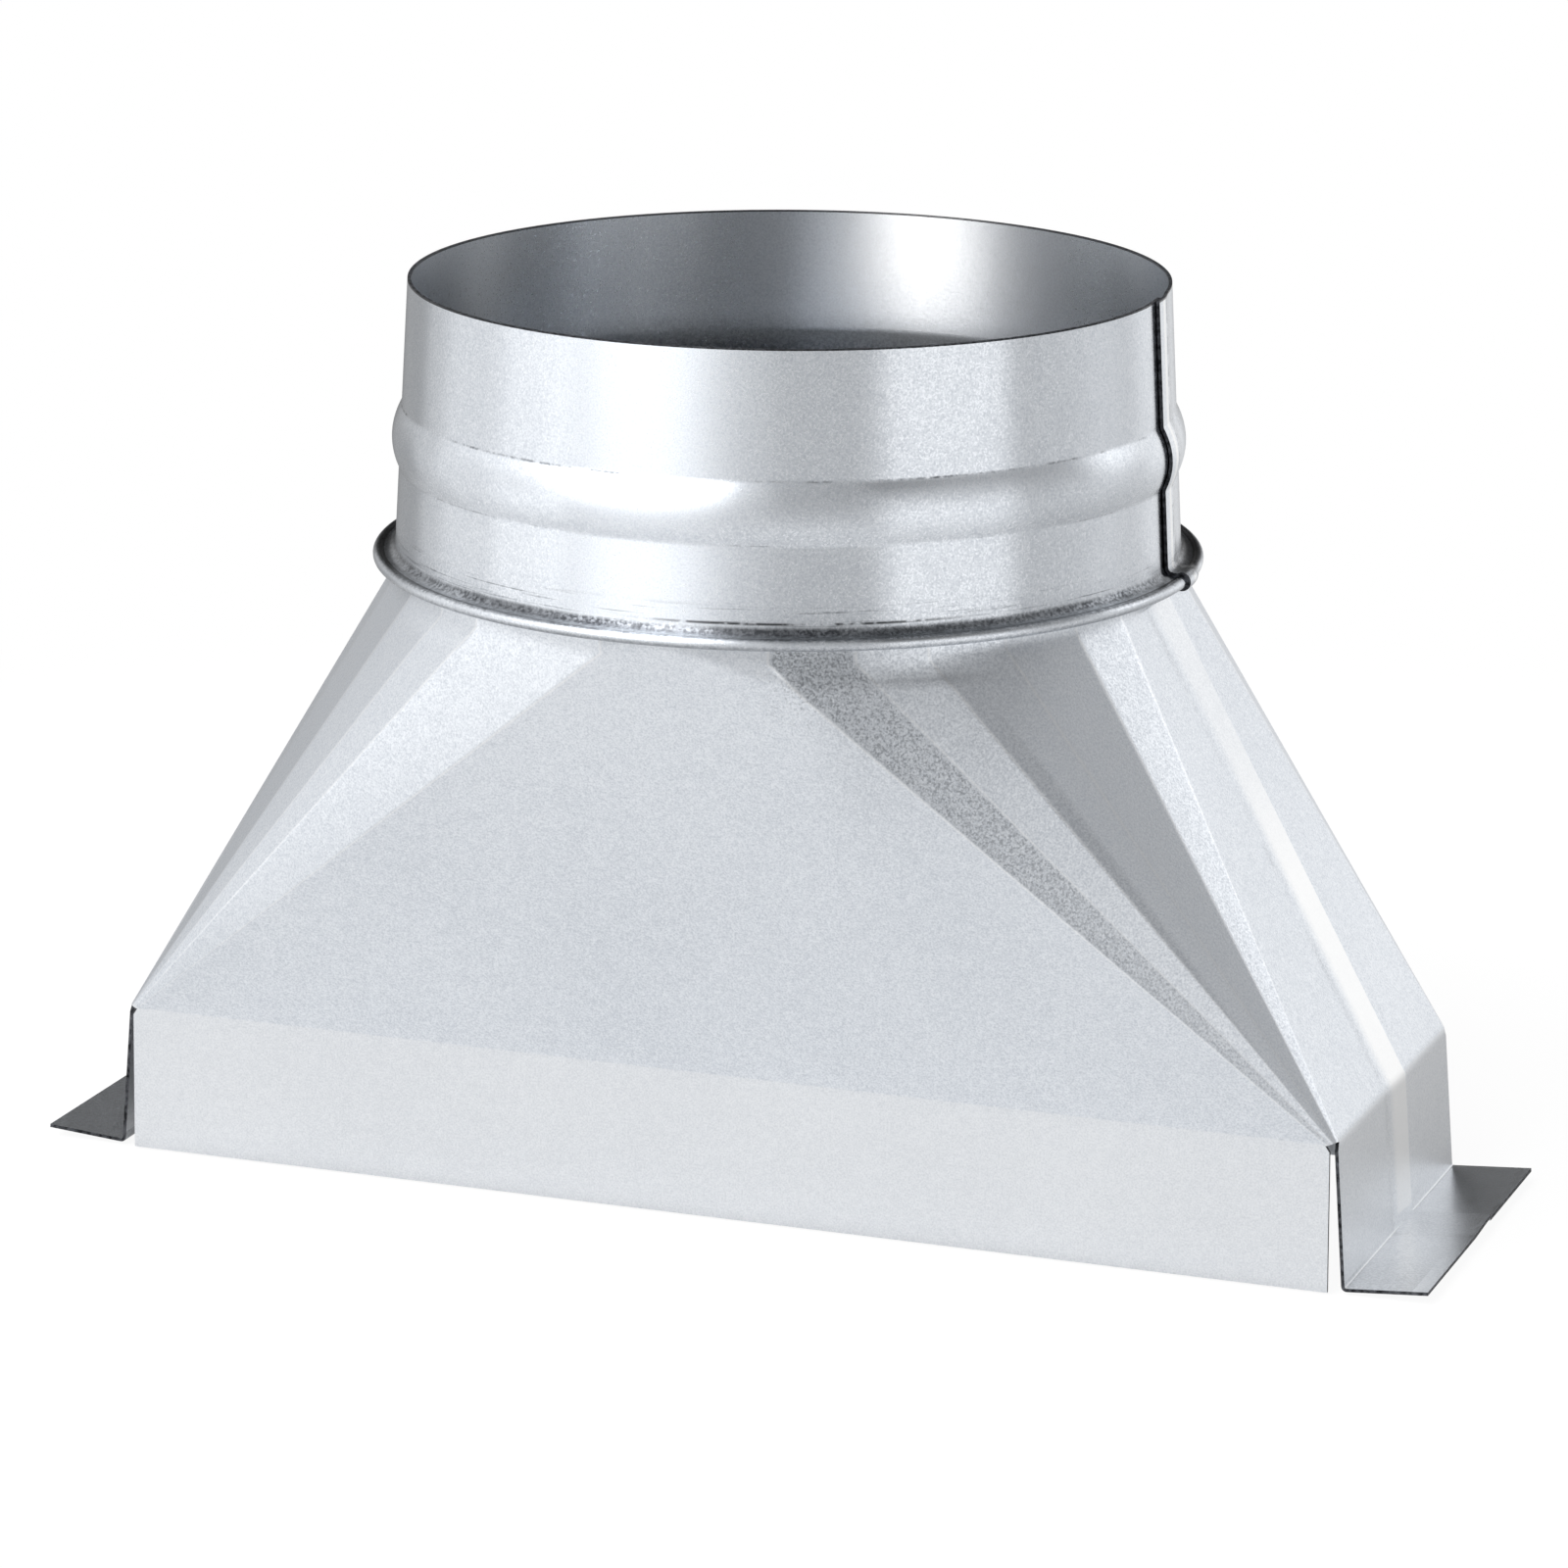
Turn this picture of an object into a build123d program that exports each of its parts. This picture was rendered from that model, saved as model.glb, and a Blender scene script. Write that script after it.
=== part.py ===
from build123d import *
from math import acos, atan2, cos, degrees, radians, sin, sqrt, tan
import os

# Galvanised sheet register boot. Millimetres, Z up, X along the mouth, front at -Y.
# Z = 0 is the floor that the nailing flanges stand on, under the axis of the collar.

sheet = 0.7

# rectangular mouth
mouth_length = 254.0
mouth_width = 82.5
skirt_depth = 29.7
slit_edge = 0.3

# nailing flanges on the short ends
end_depth = 30.3
end_flare = 4.4
flange_width = 17.2
flange_bend = 1.1

# the sloping panels up to the neck, and the short band in which they turn round
slope_height = 93.07
blend_height = 2.6
neck_length = 1.52

# fold lines that fan out from each corner of the mouth to the neck, as angles from the right end
right_folds = (14.5, 25.0, 38.0, 50.0, 60.5, 72.65)
left_folds = (97.05, 120.0, 129.0, 140.0, 153.0, 165.5)
fold_outset = 1.0
long_panel_inset = 0.6

# flattened seam of the body, down the right end
seam_width = 13.0
seam_centre = 3.5
seam_rise = 0.35
seam_slope = 2.0
seam_root = 0.3

# tapered collar, from its rim to the top of its rolled hem
rim_radius = 75.5
taper = 3.07
collar_length = 54.48
bead_top = 25.1
bead_length = 12.2
bead_rise = 1.65
foot_radius = 2.0

# the body's round neck stands inside the collar's foot, and its lip turns out into the hem
neck_play = 0.32
lip_bend = 0.8
lip_grip = 0.88
hem_room = 0.85
hem_step = 0.25
hem_gap = 1.8

# lapped seam of the collar, as angles from the right end
lap_angle = 4.6
lap_cover = 3.0
lap_run_out = 5.0

# how many narrow flats make up each round bend, and how many steps the lap runs out in
steps_of = {"bead": 5, "foot": 2, "hem": 6, "hem inside": 3, "lip": 2, "lap": 2}

half_length = mouth_length / 2
half_width = mouth_width / 2

# the end skirt and its flange swing out together, and the flange's bend touches the floor
flare = radians(end_flare)
outer_bend = flange_bend + sheet
bend_drop = (end_depth - outer_bend) * cos(flare) - flange_bend * sin(flare)
fold_height = bend_drop + outer_bend

# heights above the floor
fold_ring_height = fold_height + slope_height
neck_height = fold_ring_height + blend_height
lip_bottom = neck_height + neck_length
lip_top = lip_bottom + sheet
flange_top = lip_top + sheet
collar_height = flange_top + collar_length

# the hem is three sheets thick, with the body's lip as the middle one
hem_roll = (3 * sheet + hem_step) / 2
hem_centre_height = flange_top + hem_step - hem_roll

# radii outwards from the collar's wall at its foot
wall_radius = rim_radius + collar_length * tan(radians(taper))
neck_radius = wall_radius - sheet - neck_play
fold_ring_radius = neck_radius + fold_outset
long_panel_reach = neck_radius - long_panel_inset
lip_radius = wall_radius + foot_radius + lip_grip
hem_outer_radius = lip_radius + hem_room + sheet
hem_inner_radius = neck_radius + hem_gap


def polar(radius, angle, height):
    """A point by its radius and angle round the collar's axis."""
    return Vector(radius * cos(radians(angle)), radius * sin(radians(angle)), height)


def side_point(radius, height):
    """A point of a section through the collar's axis."""
    return Vector(radius, 0, height)


def bend(centre, radius, start, end, flats):
    """The points of one bend of a section, from its start angle to its end angle."""
    turns = [radians(start + (end - start) * i / flats) for i in range(flats + 1)]
    return [centre + side_point(radius * cos(t), radius * sin(t)) for t in turns]


def outline(points):
    return Face(Wire.make_polygon(points, close=True))


def fold_ends(inset):
    """Where the fold lines end under the neck, from the front right corner counter-clockwise.

    The two lines beside a long panel end on a line along the mouth, which keeps it flat.
    """
    height = fold_ring_height
    reach = long_panel_reach - inset
    right = [polar(fold_ring_radius - inset, a, height) for a in right_folds[:-1]]
    right.append(polar(reach / sin(radians(right_folds[-1])), right_folds[-1], height))
    left = [polar(reach / sin(radians(left_folds[0])), left_folds[0], height)]
    left += [polar(fold_ring_radius - inset, a, height) for a in left_folds[1:]]
    front_right = [Vector(p.X, -p.Y, p.Z) for p in reversed(right)]
    front_left = [Vector(p.X, -p.Y, p.Z) for p in reversed(left)]
    return [front_right, right, left, front_left]


def sloping_solid(inset):
    """All that the folded panels enclose, from the mouth's fold line to the neck."""
    x, y = half_length - inset / cos(flare), half_width - inset
    sides = [(x, -y), (x, y), (-x, y), (-x, -y)]
    corners = [Vector(a, b, fold_height) for a, b in sides]
    fans = fold_ends(inset)
    panels = [outline(corners), outline([p for fan in fans for p in fan])]
    for i, (corner, fan) in enumerate(zip(corners, fans)):
        j = (i + 1) % len(corners)
        panels += [outline([corner, a, b]) for a, b in zip(fan, fan[1:])]
        panels.append(outline([corner, corners[j], fans[j][0], fan[-1]]))
    return Solid(Shell(panels))


def neck_blend(inset):
    """The short band in which the flat panels run out into the round neck."""
    radius = neck_radius - inset
    folds = [p for fan in fold_ends(inset) for p in fan]
    angles = [degrees(atan2(p.Y, p.X)) % 360 for p in folds]
    arcs = []
    for i, a in enumerate(angles):
        span = (angles[(i + 1) % len(angles)] - a) % 360
        turns = a, a + span / 2, a + span
        arcs.append(Edge.make_three_point_arc(*[polar(radius, t, neck_height) for t in turns]))
    return Solid.make_loft([Wire.make_polygon(folds, close=True), Wire(arcs)], ruled=True)


def neck_lip():
    """The round neck, turned out into the lip that the collar's hem clasps."""
    inner = neck_radius - sheet
    centre = side_point(neck_radius + lip_bend, lip_bottom - lip_bend)
    points = [
        side_point(inner, neck_height),
        *bend(centre, lip_bend + sheet, 180, 90, steps_of["lip"]),
        side_point(lip_radius, lip_top),
        side_point(lip_radius, lip_bottom),
        *bend(centre, lip_bend, 90, 180, steps_of["lip"]),
        side_point(neck_radius, neck_height),
    ]
    return revolve(outline(points), Axis.Z)


def long_skirt(side):
    """The plain skirt under a long panel. Its ends are cut free from the end skirts."""
    length = mouth_length - 2 * slit_edge
    skirt = Box(length, sheet, skirt_depth)
    return Pos(0, side * (half_width - sheet / 2), fold_height - skirt_depth / 2) * skirt


def end_skirt():
    """The right end's skirt and its nailing flange, bent square and then swung out.

    The mitre at the top makes that edge level once the skirt has swung out.
    """
    mitre = sheet * tan(flare)
    floor = fold_height - end_depth
    reach = half_length + flange_width
    inside = half_length - sheet
    centre = Vector(half_length + flange_bend, 0, floor + outer_bend)
    diagonal = Vector(-sin(radians(45)), 0, -sin(radians(45)))
    edges = [
        Edge.make_line((half_length, 0, fold_height), (half_length, 0, centre.Z)),
        Edge.make_three_point_arc(
            (half_length, 0, centre.Z), centre + diagonal * flange_bend, (centre.X, 0, floor + sheet)
        ),
        Edge.make_line((centre.X, 0, floor + sheet), (reach, 0, floor + sheet)),
        Edge.make_line((reach, 0, floor + sheet), (reach, 0, floor)),
        Edge.make_line((reach, 0, floor), (centre.X, 0, floor)),
        Edge.make_three_point_arc(
            (centre.X, 0, floor), centre + diagonal * outer_bend, (inside, 0, centre.Z)
        ),
        Edge.make_line((inside, 0, centre.Z), (inside, 0, fold_height + mitre)),
        Edge.make_line((inside, 0, fold_height + mitre), (half_length, 0, fold_height)),
    ]
    strip = extrude(Face(Wire(edges)), half_width - slit_edge, dir=(0, 1, 0), both=True)
    hinge = Axis((half_length, 0, fold_height), (0, -1, 0))
    return strip.rotate(hinge, end_flare)


def body_seam():
    """The flattened lap of the sheet's two edges, from the neck to the flange's bend."""
    top = Vector(fold_ring_radius * cos(radians(right_folds[0])), seam_centre, fold_ring_height)
    fold = Vector(half_length, seam_centre, fold_height)
    down = end_depth - outer_bend
    foot = fold + Vector(down * sin(flare), 0, -down * cos(flare))
    along = (fold - top).normalized()
    out = Vector(-along.Z, 0, along.X)
    section = Plane(origin=top, x_dir=(0, 1, 0), z_dir=along)
    rise = 1 if section.y_dir.dot(out) > 0 else -1
    wide, narrow = seam_width / 2, seam_width / 2 - seam_slope
    corners = [(-wide, -seam_root), (wide, -seam_root), (wide, 0), (narrow, seam_rise)]
    corners += [(-narrow, seam_rise), (-wide, 0)]
    face = outline([section.from_local_coords((x, y * rise)) for x, y in corners])
    path = Wire.make_polygon([top, fold, foot], close=False)
    return sweep(face, path, transition=Transition.RIGHT)


def body():
    walls = sloping_solid(0) + neck_blend(0) - sloping_solid(sheet) - neck_blend(sheet)
    right = end_skirt()
    walls += [long_skirt(-1), long_skirt(1), right, right.rotate(Axis.Z, 180)]
    return walls + neck_lip() + body_seam()


def collar_surface(wall, hem, hem_flats):
    """The points of one surface of the collar's sheet, from the rim down and round the hem.

    wall and hem say how far the surface lies outside the plain outer one, on the wall and
    from the foot on, so that a second layer can lie on the first.
    """

    def on_wall(down, out):
        return side_point(rim_radius + down * tan(radians(taper)) + out, collar_height - down)

    middle = bead_top + bead_length / 2
    bead_radius = ((bead_length / 2) ** 2 + bead_rise**2) / (2 * bead_rise)
    bead_axis = bead_rise - bead_radius
    radius = bead_radius + wall
    half_turn = acos((wall - bead_axis) / radius)
    count = steps_of["bead"]
    turns = [half_turn * (2 * i / count - 1) for i in range(count + 1)]
    bead = [on_wall(middle + radius * sin(t), bead_axis + radius * cos(t)) for t in turns]

    foot = foot_radius - hem
    foot_drop = collar_height - flange_top - foot_radius
    foot_centre = on_wall(foot_drop, wall) + side_point(foot, 0)

    roll = hem_roll + hem
    rise = flange_top + hem - hem_centre_height
    roll_centre = side_point(hem_outer_radius - hem_roll, hem_centre_height)
    crease = degrees(atan2(rise, -sqrt(roll**2 - rise**2)))
    return [
        on_wall(0, wall),
        *bead,
        *bend(foot_centre, foot, 180, 270, steps_of["foot"]),
        *bend(roll_centre, roll, crease, -90, hem_flats),
        side_point(hem_inner_radius, hem_centre_height - roll),
    ]


def collar_section(wall=0.0, hem=0.0):
    """The sheet's section, with its outer surface that far outside the plain one."""
    outer = collar_surface(wall, hem, steps_of["hem"])
    inner = collar_surface(wall - sheet, hem - sheet, steps_of["hem inside"])
    return outline([*outer, *reversed(inner)])


def swung(section, angle):
    return section.rotate(Axis.Z, angle)


def lap_layer(wall, hem, free_end, hold_end, plain_end):
    """One layer of the lapped seam, and the run in which it settles into the plain ring."""
    start, size = min(free_end, hold_end), abs(hold_end - free_end)
    pieces = [revolve(swung(collar_section(wall, hem), start), Axis.Z, size)]
    steps = steps_of["lap"]
    for i in range(steps):
        faces = []
        for k in (i, i + 1):
            share = 1 - k / steps
            angle = hold_end + (plain_end - hold_end) * k / steps
            faces.append(swung(collar_section(wall * share, hem * share), angle).outer_wire())
        pieces.append(Solid.make_loft(faces, ruled=True))
    return pieces


def collar():
    lap_end = lap_angle + lap_cover
    first, last = lap_end + lap_run_out, lap_angle - lap_run_out
    ring = revolve(swung(collar_section(), first), Axis.Z, 360 + last - first)
    inner = lap_layer(-sheet / 2, 0, lap_end, lap_angle, last)
    outer = lap_layer(sheet / 2, sheet, lap_angle, lap_end, first)
    return ring.fuse(*inner, *outer)


pieces = {"transition_body": body(), "collar": collar()}

os.makedirs("parts", exist_ok=True)
for name, shape in pieces.items():
    shape.label = name
    export_step(shape, f"parts/{name}.step")
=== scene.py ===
from math import atan2, cos, degrees, pi, radians, sin, sqrt, tan

import bmesh
import bpy
from mathutils import Matrix, Vector


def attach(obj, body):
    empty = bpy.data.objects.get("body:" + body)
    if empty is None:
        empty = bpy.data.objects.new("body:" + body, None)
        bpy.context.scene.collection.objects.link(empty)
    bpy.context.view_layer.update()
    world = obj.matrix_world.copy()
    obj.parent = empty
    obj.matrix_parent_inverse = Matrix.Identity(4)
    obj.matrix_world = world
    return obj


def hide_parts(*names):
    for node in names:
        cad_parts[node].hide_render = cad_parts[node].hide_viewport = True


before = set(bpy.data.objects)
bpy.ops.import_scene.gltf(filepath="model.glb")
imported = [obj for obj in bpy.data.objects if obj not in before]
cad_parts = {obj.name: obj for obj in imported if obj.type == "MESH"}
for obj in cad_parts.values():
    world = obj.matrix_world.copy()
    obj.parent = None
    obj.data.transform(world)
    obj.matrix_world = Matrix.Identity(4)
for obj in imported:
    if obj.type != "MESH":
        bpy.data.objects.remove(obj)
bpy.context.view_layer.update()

# the boot's own sizes, in millimetres, as the solids have them
MM = 0.001
SHEET = 0.7
MOUTH_LENGTH, MOUTH_WIDTH = 254.0, 82.5
HALF_LENGTH, HALF_WIDTH = MOUTH_LENGTH / 2, MOUTH_WIDTH / 2
SKIRT_DEPTH, SLIT_EDGE, SLIT_TOP = 29.7, 0.3, 0.3
END_DEPTH, FLARE, FLANGE_WIDTH, FLANGE_BEND = 30.3, radians(4.4), 17.2, 1.1
OUTER_BEND = FLANGE_BEND + SHEET
FOLD_HEIGHT = (END_DEPTH - OUTER_BEND) * cos(FLARE) - FLANGE_BEND * sin(FLARE) + OUTER_BEND
RIGHT_FOLDS = (14.5, 25.0, 38.0, 50.0, 60.5, 72.65)
LEFT_FOLDS = (97.05, 120.0, 129.0, 140.0, 153.0, 165.5)
FOLD_RING_RADIUS, FOLD_RING_HEIGHT, LONG_PANEL_REACH = 78.4, 123.2, 76.8
NECK_RADIUS, NECK_HEIGHT, LIP_BEND, LIP_RADIUS = 77.4, 125.8, 0.8, 81.3
SEAM_FROM, SEAM_TO, SEAM_RISE = -4.8, 7.2, 0.6
COLLAR_HEIGHT, RIM_RADIUS, TAPER = 183.2, 75.5, radians(3.07)
BEAD_TOP, BEAD_LENGTH, BEAD_RISE = 25.1, 12.2, 1.65
HEM_RADIUS, HEM_HEIGHT, HEM_INNER_RADIUS, HEM_STEP = 82.85, 127.8, 79.2, 0.25
FOOT_RADIUS = 2.0
LAP_FROM, LAP_TO, LAP_RUN_OUT = 0.8, 3.8, 5.0
HEM_ROLL = (3 * SHEET + HEM_STEP) / 2
FLANGE_TOP = HEM_HEIGHT + HEM_ROLL - HEM_STEP
LIP_BOTTOM = FLANGE_TOP - 2 * SHEET

# the photograph's camera
CAMERA_YAW, CAMERA_PITCH, CAMERA_ROLL = radians(20.066), radians(14.858), radians(0.341)
CAMERA_DISTANCE, CAMERA_LENS = 1.3344, 152.27
CAMERA_TARGET = Vector((0, 0, 0.0918))
CAMERA_SIDESTEP, CAMERA_LIFT = -0.00057, -0.01215


# ---- materials

class Nodes:
    """Adds nodes to one node tree and joins them."""

    def __init__(self, tree):
        self.tree = tree
        tree.nodes.clear()

    def add(self, kind, values=None, **settings):
        made = self.tree.nodes.new(kind)
        for key, value in settings.items():
            setattr(made, key, value)
        for key, value in (values or {}).items():
            if isinstance(value, bpy.types.NodeSocket):
                self.tree.links.new(value, made.inputs[key])
            else:
                made.inputs[key].default_value = value
        return made

    def math(self, operation, a, b):
        return self.add("ShaderNodeMath", {0: a, 1: b}, operation=operation).outputs[0]

    def window(self, value, half, border):
        """One inside a half-width, nothing outside it, with a soft border."""
        return self.add("ShaderNodeMapRange", {
            "Value": value, "From Min": half - border, "From Max": half + border, "To Min": 1.0, "To Max": 0.0,
        }, interpolation_type="SMOOTHSTEP").outputs["Result"]

    def noise(self, place, scale, detail, roughness):
        return self.add("ShaderNodeTexNoise", {
            "Vector": place, "Scale": scale, "Detail": detail, "Roughness": roughness,
        }).outputs["Fac"]

    def total(self, parts):
        """Adds up values, each times its share."""
        result = 0.0
        for value, share in parts:
            made = self.add("ShaderNodeMath", {0: value, 1: share, 2: result}, operation="MULTIPLY_ADD")
            result = made.outputs[0]
        return result

    def ramp(self, factor, stops):
        made = self.add("ShaderNodeValToRGB", {"Fac": factor})
        line = made.color_ramp
        while len(line.elements) < len(stops):
            line.elements.new(0.5)
        for element, (place, colour) in zip(line.elements, stops):
            element.position = place
            element.color = (*colour, 1)
        return made.outputs["Color"]

    def line(self, value, at, half, border):
        """One along a line across a coordinate, nothing beside it."""
        off = self.math("ABSOLUTE", self.math("SUBTRACT", value, at), 0.0)
        return self.window(off, half, border)

    def between(self, value, low, high, border):
        return self.line(value, (low + high) / 2, (high - low) / 2, border)

    def all_of(self, *shares):
        """Where all the masks meet: they are multiplied."""
        result = shares[0]
        for share in shares[1:]:
            result = self.math("MULTIPLY", result, share)
        return result

    def most_of(self, *shares):
        """Where any of the masks is: the strongest counts."""
        result = shares[0]
        for share in shares[1:]:
            result = self.math("MAXIMUM", result, share)
        return result

    def patchy(self, place, scale, low, high):
        """Breaks a mark up into patches: nothing where the noise is low, one where it is high."""
        return self.add("ShaderNodeMapRange", {
            "Value": self.noise(place, scale, 3.0, 0.6), "From Min": low, "From Max": high,
        }, interpolation_type="SMOOTHSTEP").outputs["Result"]


ZINC_GREY, ZINC_PALE = (0.61, 0.645, 0.695), (0.81, 0.84, 0.88)
# dark and grey for grime, also used for painted shade
SHADE_AND_GRIME_DARK, SHADE_AND_GRIME_GREY = (0.06, 0.065, 0.075), (0.30, 0.32, 0.35)
# the cut edge's dark, which also stands in for the shade along the edge: painted shade
EDGE_AND_SHADE_DARK, EDGE_GREY = (0.015, 0.016, 0.018), (0.13, 0.135, 0.15)
# pale zinc, also used for painted highlights
PALE_ZINC_AND_HIGHLIGHT = (0.95, 0.95, 0.945, 1)
# near black, for black marks and for painted shade
BLACK_MARK_AND_SHADE = (0.012, 0.012, 0.014, 1)
GRAIN_DEPTH, SWAY_DEPTH = 0.00006, 0.0006


def zinc_coat(nodes, place, grime_and_shade, waviness, matt, gloss, relief,
              spread=0.0, pale_and_highlight=0.0, black_and_painted_shade=0.0, dull=0.0):
    """The coat that all the sheet has: fine grain, faint spangles, handling clouds, and mixed over them grime
    with painted shade, pale zinc with painted highlights, and near-black marks with painted shade.

    Matt and gloss are the roughness of the dull and the bright grains, spread is the rolled
    sheet's way of drawing a highlight out, and dull is added to the roughness.
    """
    grain = nodes.noise(place, 2600.0, 1.0, 0.6)
    speckle = nodes.noise(place, 1300.0, 1.0, 0.6)
    clouds = nodes.noise(place, 18.0, 1.0, 0.5)
    flakes = nodes.add("ShaderNodeTexVoronoi", {"Vector": place, "Scale": 420.0, "Randomness": 1.0})
    flake = nodes.add("ShaderNodeSeparateColor", {"Color": flakes.outputs["Color"]}).outputs["Red"]
    tone = nodes.total([(grain, 0.56), (speckle, 0.26), (clouds, 0.14), (flake, 0.04)])
    colour = nodes.ramp(tone, [(0.34, ZINC_GREY), (0.64, ZINC_PALE)])
    dirt_and_shade = nodes.ramp(speckle, [(0.40, SHADE_AND_GRIME_DARK), (0.62, SHADE_AND_GRIME_GREY)])
    # over the zinc go pale zinc and painted highlights, grime and painted shade, near-black marks and painted
    # shade
    for share, over in ((pale_and_highlight, PALE_ZINC_AND_HIGHLIGHT), (grime_and_shade, dirt_and_shade), (black_and_painted_shade, BLACK_MARK_AND_SHADE)):
        mix = nodes.add("ShaderNodeMix", {"Factor": share, "A": colour, "B": over}, data_type="RGBA")
        colour = mix.outputs["Result"]
    rough = nodes.add("ShaderNodeMapRange", {
        "Value": tone, "From Min": 0.38, "From Max": 0.62, "To Min": matt, "To Max": gloss,
    }).outputs["Result"]
    rough = nodes.math("ADD", rough, dull)
    height = nodes.total([(grain, 0.8), (speckle, 0.3), (flake, 0.06)])
    bump = nodes.add("ShaderNodeBump", {"Strength": relief, "Distance": GRAIN_DEPTH, "Height": height})
    sway = nodes.noise(place, waviness, 1.0, 0.4)
    wavy = nodes.add("ShaderNodeBump", {
        "Strength": 1.0, "Distance": SWAY_DEPTH, "Height": sway, "Normal": bump.outputs["Normal"],
    })
    shader = nodes.add("ShaderNodeBsdfPrincipled", {
        "Base Color": colour, "Metallic": 1.0, "Roughness": rough, "Anisotropic": spread,
        "Normal": wavy.outputs["Normal"],
    })
    nodes.add("ShaderNodeOutputMaterial", {"Surface": shader.outputs["BSDF"]})
    return shader


def galvanised_sheet():
    """The body's sheet: stains and stipple near the ring, painted shade near the ring, on the folds' shady
    side, beside the seam and on the flanges, a pale strip on the seam and painted highlights along the folds.
    """
    material = bpy.data.materials.new("galvanised_sheet")
    material.use_nodes = True
    nodes = Nodes(material.node_tree)
    place = nodes.add("ShaderNodeTexCoord").outputs["Object"]
    x, y, z = nodes.add("ShaderNodeSeparateXYZ", {0: place}).outputs
    marks = nodes.add("ShaderNodeAttribute", attribute_name="marks").outputs["Color"]
    stipple, fold, shaded = nodes.add("ShaderNodeSeparateColor", {"Color": marks}).outputs
    front = nodes.math("LESS_THAN", y, 0.0)
    right_end = nodes.math("GREATER_THAN", x, 0.076)

    # painted shade: a dark patchy line beside the seam's raised edge
    painted_shade_beside_seam = nodes.all_of(right_end, nodes.line(y, (SEAM_FROM - 0.8) * MM, 0.0010, 0.0014),
                               nodes.patchy(place, 70.0, 0.35, 0.60), 0.16)
    pressed = nodes.all_of(nodes.between(x, 0.024, 0.050, 0.008), front, nodes.between(z, 0.112, 0.127, 0.008),
                           nodes.patchy(place, 1700.0, 0.50, 0.62), 0.40)
    # painted shade: darkens the front right fan's facets near the ring
    painted_shade_near_ring = nodes.all_of(nodes.between(x, 0.034, 0.068, 0.008), front,
                             nodes.between(z, 0.103, 0.150, 0.026), 0.26)
    stippled = nodes.all_of(stipple, nodes.patchy(place, 2000.0, 0.40, 0.60), 0.62)
    # painted shade on the shady side of a fold
    painted_fold_shade = nodes.all_of(nodes.between(shaded, 0.22, 2.0, 0.16), 0.22)
    # painted shade: darkens the top of the left flange
    painted_shade_left_flange = nodes.all_of(nodes.math("LESS_THAN", x, -0.1285), nodes.math("LESS_THAN", z, 0.003), 0.45)
    # painted shade: darkens the front part of the right flange
    painted_shade_flange_front = nodes.all_of(nodes.math("GREATER_THAN", x, 0.1285), nodes.math("LESS_THAN", z, 0.0024),
                                nodes.between(y, -0.060, -0.026, 0.012), 0.22)
    grime_and_shade = nodes.most_of(painted_shade_beside_seam, pressed, painted_shade_near_ring, stippled, painted_fold_shade, painted_shade_left_flange, painted_shade_flange_front)

    seam = nodes.all_of(nodes.between(y, (SEAM_FROM + 2.2) * MM, 0.020, 0.0024),
                        nodes.math("LESS_THAN", y, (SEAM_TO - 0.1) * MM))
    lower_down = nodes.total([(nodes.between(z, 0.0, 0.085, 0.02), 0.5), (0.35, 1.0)])
    pale_seam = nodes.all_of(right_end, seam, nodes.math("GREATER_THAN", z, 0.004), lower_down)
    # painted highlight along the folds
    painted_fold_highlight = nodes.all_of(nodes.between(fold, 0.7, 1.3, 0.3), 0.40)
    zinc_coat(nodes, place, grime_and_shade, waviness=14.0, matt=0.37, gloss=0.28, relief=0.36,
              pale_and_highlight=nodes.most_of(pale_seam, painted_fold_highlight))
    return material


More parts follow.
